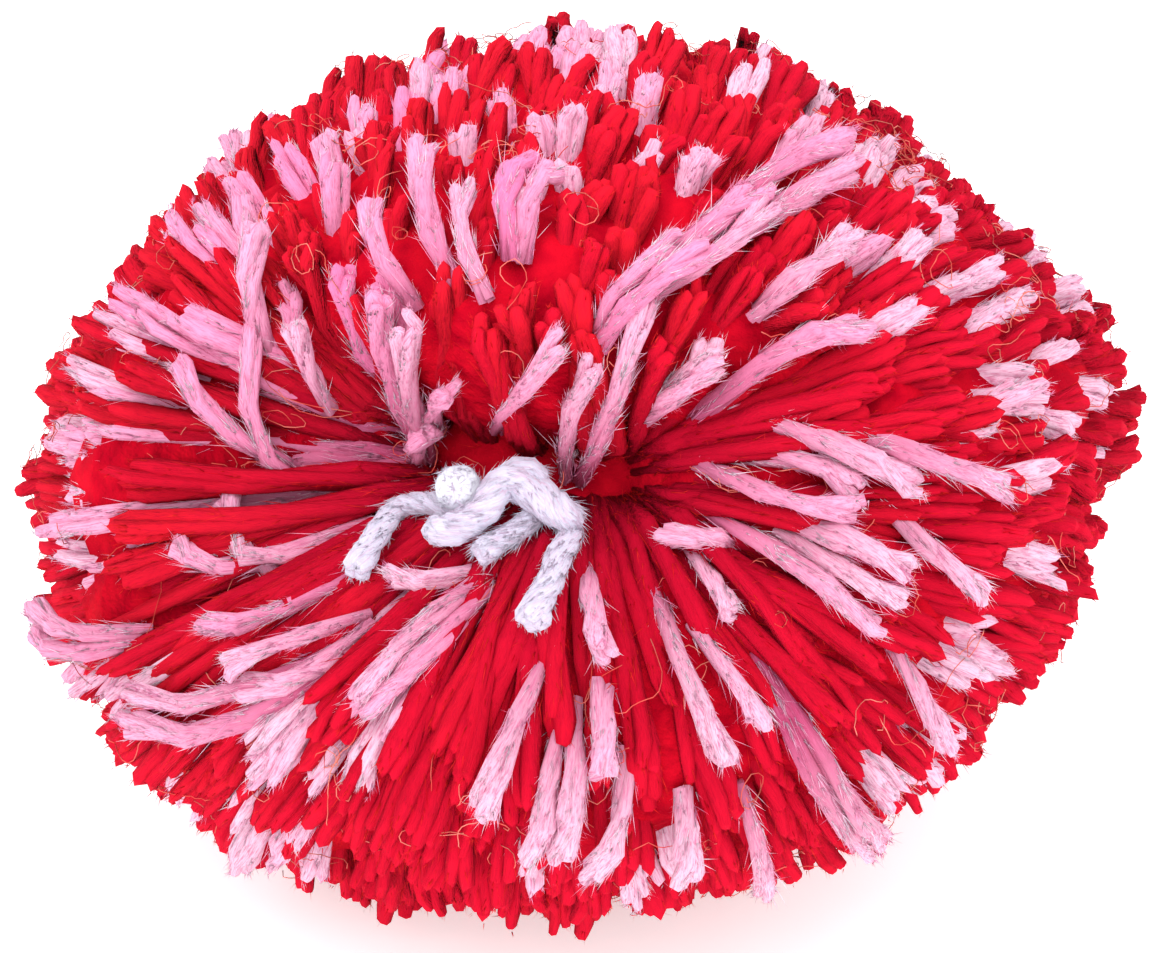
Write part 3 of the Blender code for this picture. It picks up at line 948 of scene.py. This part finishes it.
seen = np.repeat(np.where(middle_way @ np.array(camera_way) > SEEN_ABOVE, 1.0, FAR_FUZZ), LOCKS)
shown = {"red": locks.shown * seen * ~is_white, "white": locks.shown * seen * is_white * WHITE_FUZZ}
all_shown = sum(part.sum() for part in shown.values())
red_fuzz, white_fuzz = [], []
for half, inside in halves.items():
    for pieces, colour in ((red_fuzz, "red"), (white_fuzz, "white")):
        weight = shown[colour] * inside
        count = int(FUZZ_FIBRES * weight.sum() / all_shown)
        pieces.append(lay_fuzz(f"{colour}_fuzz_{half}", locks, weight, count))
tie_fuzz = lay_fuzz("tie_fuzz", tied, np.ones(len(tied.girths)), TIE_FIBRES, TIE_FUZZ_SIZE)

ball_out = unit(dice.normal(size=(BALL_FIBRES, 3)))
ball_ahead = unit(np.cross(ball_out, dice.normal(size=(BALL_FIBRES, 3))))
ball_base = np.array(ball_place) + ball_out * ball_radius * BALL_SKIN
ball_end = np.full(BALL_FIBRES, END_ZONE)
ball_fuzz = lay_fibres("ball_fuzz", ball_base, ball_out, ball_ahead, ball_end, BALL_FUZZ_SIZE)

# %% [markdown]
# ## Loose fibres
# Fluffing and trimming leave single fibres loose on the pile. Each one curls: it wanders over the
# surface in short steps, and its heading and its bend change a little from step to step. It is a
# three-sided tube, thicker than a real fibre, which would be too fine to show.

# %% Loose fibres
LOOSE_FIBRES = 520
LOOSE_RADIUS = 0.045 * MM
LOOSE_STEPS = 16
LOOSE_STEP, STEP_VARIES = 0.6 * MM, (0.5, 1.3)
FIRST_BEND, BEND_CHANGE, MOST_BEND = 0.25, 0.3, 1.0
FIRST_LIFT, LIFT_CHANGE, LIFTS = (-1.4, -0.3), 0.2, (-1.6 * MM, -0.2 * MM)
LOOSE_ABOVE = 4.0 * MM
loose_rings = [Ring(k, 1.0) for k in range(LOOSE_STEPS)]
curl = read_pattern(model_fibre(SPIKE_SIDES, loose_rings, float(LOOSE_STEPS)), float(LOOSE_STEPS))


def loose_routes(count):
    """Curly lines that wander over the pile, just below the longest cut ends."""
    way = unit(dice.normal(size=(count, 3)))
    heading = unit(np.cross(way, dice.normal(size=(count, 3))))
    bend = dice.normal(size=(count, 1)) * FIRST_BEND
    lift = dice.uniform(*FIRST_LIFT, (count, 1)) * MM
    step = LOOSE_STEP * dice.uniform(*STEP_VARIES, (count, 1))
    line = []
    for _ in range(LOOSE_STEPS + 1):
        reach = pile_reach(way)[:, None]
        line.append(MIDDLE + way * (reach + lift))
        bend = np.clip(bend + dice.normal(size=(count, 1)) * BEND_CHANGE, -MOST_BEND, MOST_BEND)
        heading = unit(heading + np.cross(way, heading) * bend)
        lift = np.clip(lift + dice.normal(size=(count, 1)) * LIFT_CHANGE * MM, *LIFTS)
        way = unit(way + heading * step / reach)
        heading = unit(heading - way * (heading * way).sum(1)[:, None])
    line = np.stack(line, 1)
    return line[line[..., 2].min(1) > LOOSE_ABOVE]


loose_lines = loose_routes(LOOSE_FIBRES)
loose = lay_copies("loose_fibres", curl, loose_lines, np.full(len(loose_lines), LOOSE_RADIUS))

# %% [markdown]
# ## Packed strands below
# Between the cut ends one looks down on strands that are packed side by side. Modelling them would be
# wasted, so a copy of the solid pile, drawn in by about three millimetres, stands for them. The copy's
# loose triangles are merged first, so that it stays closed and can be smooth.

# %% Draw in a copy of the pile
DEPTH_OUTSIDE, DEPTH_IN_PARTING = 3.3 * MM, 3.0 * MM
SLOPE_TOP = (0.8, 1.3)
MERGE_WITHIN = 0.01 * MM
deselect_all()
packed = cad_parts["pile"].copy()
packed.data = packed.data.copy()
packed.name = "packed_strands"
bpy.context.scene.collection.objects.link(packed)
bpy.context.view_layer.objects.active = packed
packed.select_set(True)
bpy.ops.object.mode_set(mode="EDIT")
bpy.ops.mesh.select_all(action="SELECT")
bpy.ops.mesh.remove_doubles(threshold=MERGE_WITHIN)
bpy.ops.object.mode_set(mode="OBJECT")
from_middle = np.array([v.co for v in packed.data.vertices]) - MIDDLE
reach = np.linalg.norm(from_middle, axis=1, keepdims=True)
past_rim = ramp(up_slope(from_middle / reach), *SLOPE_TOP)[:, None]
depth = DEPTH_IN_PARTING + (DEPTH_OUTSIDE - DEPTH_IN_PARTING) * past_rim
packed.data.vertices.foreach_set("co", (MIDDLE + from_middle * (1.0 - depth / reach)).ravel())
packed.data.shade_smooth()
print("packed strands", DEPTH_OUTSIDE / MM, "to", DEPTH_IN_PARTING / MM, "mm below the cut ends")

# %% [markdown]
# ## Materials
# Everything is acrylic fibre: matt, with hardly any shine. What changes is how the fibres lie. In yarn
# they are streaks along the strand, single ones are thin enough to glow, and packed ones are deep in
# colour because light bounces between them. Colours are picked as sRGB hex codes, which Blender needs as
# linear values.

# %% Material helpers
# A Mix node's sockets for numbers, vectors and colours share their names, so they are told apart by
# number. A Vector Math node's two inputs are 0 and 1.
FACTOR, VECTOR_A, VECTOR_B, COLOUR_A, COLOUR_B = 0, 4, 5, 6, 7
MIXED_VECTOR, MIXED_COLOUR = 1, 2


def linear(code):
    """A linear RGBA colour from an sRGB hex code."""
    srgb = [int(code[k:k + 2], 16) / 255 for k in (1, 3, 5)]
    return (*[c / 12.92 if c <= 0.04045 else ((c + 0.055) / 1.055) ** 2.4 for c in srgb], 1.0)


def add_node(tree, kind, values=None, links=None, **settings):
    """Adds a shader node, sets its options and input values, and links sockets into it."""
    node = tree.nodes.new(kind)
    for name, value in settings.items():
        setattr(node, name, value)
    for name, value in (values or {}).items():
        node.inputs[name].default_value = value
    for name, socket in (links or {}).items():
        tree.links.new(socket, node.inputs[name])
    return node


def new_material(name):
    """An empty node material and its tree."""
    made = bpy.data.materials.new(name)
    made.use_nodes = True
    made.node_tree.nodes.clear()
    return made, made.node_tree


print("a middle grey is", round(linear("#808080")[0], 3), "in linear values")

# %% [markdown]
# ## Soft light
# Light goes into a fluffy surface and comes out again near by, so fluff has none of the hard shading of a
# solid. Each strand's normal is therefore turned part of the way towards the ball's own, as if the light
# saw the whole ball and not each strand.

# %% Soft normals


def soft_normal(tree, share):
    """The surface's normal, turned by a share towards the way out of the ball."""
    place = add_node(tree, "ShaderNodeTexCoord")
    surface = add_node(tree, "ShaderNodeNewGeometry")
    out = add_node(tree, "ShaderNodeVectorMath", {1: Vector(MIDDLE)}, {0: place.outputs["Object"]},
                   operation="SUBTRACT")
    out = add_node(tree, "ShaderNodeVectorMath", {}, {0: out.outputs[0]}, operation="NORMALIZE")
    mixed = add_node(tree, "ShaderNodeMix", {FACTOR: share},
                     {VECTOR_A: surface.outputs["Normal"], VECTOR_B: out.outputs[0]}, data_type="VECTOR")
    soft = add_node(tree, "ShaderNodeVectorMath", {}, {0: mixed.outputs[MIXED_VECTOR]}, operation="NORMALIZE")
    return soft.outputs[0]


print("strands turn towards the way out from", [round(x / MM, 1) for x in MIDDLE], "mm")

# %% [markdown]
# ## Brushed yarn
# A strand is lightest at its cut end and fades to a deeper colour towards the waist, over the millimetres
# of its shade range: that is painted shade, where the strands crowd together. The tone drifts it towards
# its blush; half of the tone is chance and half painted light on the lit side. The fibres are streaks: a
# noise stretched along the strand, whose colour goes over to the gap colour, painted shade between the
# fibres, where the noise lies between the two values of `streaks`. Real fibres, about 0.02 mm thick, would
# be too fine to show, so a streak is drawn every 0.16 mm, which is 26 round a lock 4.1 mm in girth, and
# about 1.1 mm long.

# %% Yarn material
BLUSH_FROM, MOST_BLUSH = 0.35, 0.95
STREAKS_ROUND, STREAKS_PER_MM = 26.0, 0.9
MOST_GAP_SHADE = 0.85
STREAK_DEPTH = 0.2 * MM


def yarn_material(name, tip, root, blush, gap_shade, halo,
                  softness=0.45, shade_range=(2.0, 19.0), streaks=(0.46, 0.66)):
    """Brushed acrylic yarn: matt, streaked with fibres, with painted shade between them and towards the
    waist.
    """
    made, tree = new_material(name)
    from_tip = add_node(tree, "ShaderNodeAttribute", attribute_name="from_tip")
    # The tone is half chance and half painted light on the lit side.
    tone_and_lit_side = add_node(tree, "ShaderNodeAttribute", attribute_name="tone_and_lit_side")
    # Painted shade: the colour deepens from the cut end towards the waist.
    root_shade = add_node(tree, "ShaderNodeMapRange", {"From Min": shade_range[0], "From Max": shade_range[1]},
                    {"Value": from_tip.outputs["Fac"]})
    blushing = add_node(tree, "ShaderNodeMapRange",
                        {"From Min": BLUSH_FROM, "From Max": 1.0, "To Max": MOST_BLUSH},
                        {"Value": tone_and_lit_side.outputs["Fac"]})
    outer = add_node(tree, "ShaderNodeMix", {COLOUR_A: linear(tip), COLOUR_B: linear(blush)},
                     {FACTOR: blushing.outputs[0]}, data_type="RGBA")
    body = add_node(tree, "ShaderNodeMix", {COLOUR_B: linear(root)},
                    {FACTOR: root_shade.outputs[0], COLOUR_A: outer.outputs[MIXED_COLOUR]}, data_type="RGBA")
    uv = add_node(tree, "ShaderNodeUVMap", uv_map="yarn")
    stretch = add_node(tree, "ShaderNodeMapping", {"Scale": (STREAKS_ROUND, STREAKS_PER_MM, 1.0)},
                       {"Vector": uv.outputs[0]})
    fibres = add_node(tree, "ShaderNodeTexNoise", {"Scale": 1.0, "Detail": 3.0, "Roughness": 0.65},
                      {"Vector": stretch.outputs[0]})
    between = add_node(tree, "ShaderNodeMapRange",
                       {"From Min": streaks[0], "From Max": streaks[1], "To Max": MOST_GAP_SHADE},
                       {"Value": fibres.outputs[0]})
    # Painted shade between the fibres: the streaks turn to the gap colour.
    colour = add_node(tree, "ShaderNodeMix", {COLOUR_B: linear(gap_shade)},
                      {FACTOR: between.outputs[0], COLOUR_A: body.outputs[MIXED_COLOUR]}, data_type="RGBA")
    bump = add_node(tree, "ShaderNodeBump", {"Strength": 0.6, "Distance": STREAK_DEPTH},
                    {"Height": fibres.outputs[0], "Normal": soft_normal(tree, softness)}, invert=True)
    shader = add_node(tree, "ShaderNodeBsdfPrincipled",
                      {"Roughness": 0.95, "Specular IOR Level": 0.08, "Sheen Weight": 0.08,
                       "Sheen Roughness": 0.5, "Sheen Tint": linear(halo)},
                      {"Base Color": colour.outputs[MIXED_COLOUR], "Normal": bump.outputs[0]})
    add_node(tree, "ShaderNodeOutputMaterial", {}, {"Surface": shader.outputs[0]})
    return made


# Acrylic yarn dyed red and brushed: soft and matt, with painted shade that makes it a little deeper in its
# streaks and towards its root, and painted light that brightens its blush on the lit side.
red_yarn = yarn_material("brushed_acrylic_yarn_red", "#E00E30", "#C60830", "#EC1C2E", "#CE0A2E", "#FF3040",
                         softness=0.9, shade_range=(4.0, 20.0), streaks=(0.50, 0.70))
# The same yarn in white. Red light reflected from the red round it is painted in, so it is pink, and most so
# in its gaps and its root, which carry painted shade as well.
white_yarn = yarn_material("brushed_acrylic_yarn_white",
                           "#FACADF", "#C84C78", "#FF84BA", "#DC7098", "#FFFFFF")
# White yarn pulled tight, lying clear of the red, so no reflected red is painted on it: its greyer, cooler
# white is painted shade and cool light, and its root and gaps are painted pinker shade.
knot_white = yarn_material("brushed_acrylic_yarn_tie", "#DCD8EA", "#E0B8D4", "#DCD8EA", "#D8B8D0", "#FFFFFF")
print("yarns:", [yarn.name for yarn in (red_yarn, white_yarn, knot_white)])

# %% [markdown]
# ## Fibres
# The short fibres are too thin for streaks, so they only change between two colours from place to place,
# about every 2.5 mm, and those that stand may have a third. Where fibres are packed, a finer noise of
# about 1.1 mm gives the relief of strand ends side by side.

# %% Fibre material
PATCHES_PER_METRE = 400.0
ENDS_PER_METRE = 900.0
PATCH_FADE = (0.35, 0.65)
END_DEPTH = 0.6 * MM
FIBRE_SOFTNESS = 0.7


def fibre_material(name, low, high, standing=None, relief=0.0):
    """Acrylic fibres: matt, lighter and darker from place to place, with relief where they are packed."""
    made, tree = new_material(name)
    place = add_node(tree, "ShaderNodeTexCoord")
    noise = add_node(tree, "ShaderNodeTexNoise", {"Scale": PATCHES_PER_METRE, "Detail": 1.0},
                     {"Vector": place.outputs["Object"]})
    share = add_node(tree, "ShaderNodeMapRange", {"From Min": PATCH_FADE[0], "From Max": PATCH_FADE[1]},
                     {"Value": noise.outputs[0]})
    colour = add_node(tree, "ShaderNodeMix", {COLOUR_A: linear(low), COLOUR_B: linear(high)},
                      {FACTOR: share.outputs[0]}, data_type="RGBA")
    stands = add_node(tree, "ShaderNodeAttribute", attribute_name="standing")
    colour = add_node(tree, "ShaderNodeMix", {COLOUR_B: linear(standing or high)},
                      {FACTOR: stands.outputs["Fac"], COLOUR_A: colour.outputs[MIXED_COLOUR]},
                      data_type="RGBA")
    strands = add_node(tree, "ShaderNodeTexNoise", {"Scale": ENDS_PER_METRE, "Detail": 3.0},
                       {"Vector": place.outputs["Object"]})
    bump = add_node(tree, "ShaderNodeBump", {"Strength": relief, "Distance": END_DEPTH},
                    {"Height": strands.outputs[0], "Normal": soft_normal(tree, FIBRE_SOFTNESS)})
    shader = add_node(tree, "ShaderNodeBsdfPrincipled", {"Roughness": 0.9, "Specular IOR Level": 0.05},
                      {"Base Color": colour.outputs[MIXED_COLOUR], "Normal": bump.outputs[0]})
    add_node(tree, "ShaderNodeOutputMaterial", {}, {"Surface": shader.outputs[0]})
    return made


# Single dyed fibres let some light through, so they are a brighter and warmer red than the yarn.
red_lint = fibre_material("acrylic_fibres_red", "#D00414", "#F4302C")
# White fibres that lie along a strand whiten it, though in patches they are painted pink with red light
# reflected from round them, and those that stand are painted a pink glow in front of the red.
white_lint = fibre_material("acrylic_fibres_white", "#FF98C4", "#FCE2F0", "#FF86AE")
# The tie's fibres keep its painted cooler white, so they soften it without showing as dots.
tie_lint = fibre_material("acrylic_fibres_tie", "#DCC4DC", "#E4E0F0")
# Fibres felted by rolling have no direction left: an even, matt, nearly pure white, painted faintly grey and
# blue for the cool light, like the tie.
ball_white = fibre_material("felted_acrylic_white", "#E4E0F0", "#F0F0F8")
# Red strands packed side by side, in the shade of the others: deep red, with the relief of their ends.
deep_red = fibre_material("acrylic_yarn_in_shade", "#B4001E", "#DC0A26", relief=0.6)
# Loose fibres stand clear of the pile and catch the light all round, which makes red ones look coral.
coral = fibre_material("loose_acrylic_fibres", "#F05048", "#FF9080")
fibre_kinds = (red_lint, white_lint, tie_lint, ball_white, deep_red, coral)
print("fibres:", [kind.name for kind in fibre_kinds])

# %% Put the materials on
finishes = (
    (red_yarn, red_strands), (white_yarn, white_strands), (red_lint, red_fuzz), (white_lint, white_fuzz),
    (knot_white, [tie]), (tie_lint, [tie_fuzz, ball_fuzz]), (ball_white, [ball]), (coral, [loose]),
    (deep_red, [packed]),
)
for material, pieces in finishes:
    for piece in pieces:
        piece.data.materials.clear()
        piece.data.materials.append(material)
print(len(finishes), "materials on", sum(len(pieces) for _, pieces in finishes), "pieces")

# %% [markdown]
# ## Stage and light
# The pom pom lies on a sheet of matt white paper, which glows a little so that it comes out as pale as a
# studio sweep. Fluff looks best in soft light, so a bright white world lights it from all round, a large
# lamp nearly overhead models it, and a weak one in front on the right opens the shade in the parting.

# %% Floor
FLOOR_SIZE = 4.0

bpy.ops.mesh.primitive_plane_add(size=FLOOR_SIZE, location=(0.0, 0.0, 0.0))
floor = bpy.context.object
floor.name = "floor"
pale = bpy.data.materials.new("matt_paper_floor")
pale.use_nodes = True
paper = pale.node_tree.nodes["Principled BSDF"].inputs
paper["Base Color"].default_value = linear("#F8F8F8")
paper["Roughness"].default_value = 0.9
paper["Emission Color"].default_value = linear("#FFFFFF")
paper["Emission Strength"].default_value = 0.5
floor.data.materials.append(pale)
print("floor", FLOOR_SIZE, "m wide")

# %% World and lamps
world = bpy.data.worlds.new("studio")
bpy.context.scene.world = world
world.use_nodes = True
sky = world.node_tree.nodes["Background"].inputs
sky["Color"].default_value = linear("#FAFAFF")
sky["Strength"].default_value = 1.15
bpy.context.scene.view_settings.view_transform = "Standard"

Light = namedtuple("Light", "name azimuth elevation distance size power")
LIGHTS = (
    Light("key", -20.0, 68.0, 0.6, 0.6, 2.2),
    Light("front_fill", 35.0, 25.0, 0.7, 0.5, 0.4),
)
for light in LIGHTS:
    way = Vector(direction(light.azimuth, light.elevation))
    bpy.ops.object.light_add(type="AREA", location=way * light.distance + Vector(MIDDLE))
    lamp = bpy.context.object
    lamp.name = light.name
    lamp.data.size = light.size
    lamp.data.energy = light.power
    lamp.rotation_mode = "QUATERNION"
    lamp.rotation_quaternion = (-way).to_track_quat("-Z", "Y")
    print(light.name, "lamp,", light.size, "m wide,", light.power, "W")

# %% [markdown]
# ## Attaching the pieces
# Every piece rides on the one body, root. The strands replace the solid pile and the twisted yarn replaces
# the solid tie.

# %% Attach the pieces
for piece in (*red_strands, *red_fuzz, packed, loose):
    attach(piece, "root")
for piece in (*white_strands, *white_fuzz, tie, tie_fuzz, ball, ball_fuzz):
    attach(piece, "root")
for piece in (*red_strands, *white_strands):
    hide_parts("pile")
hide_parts("tie")
print("every piece rides on root")
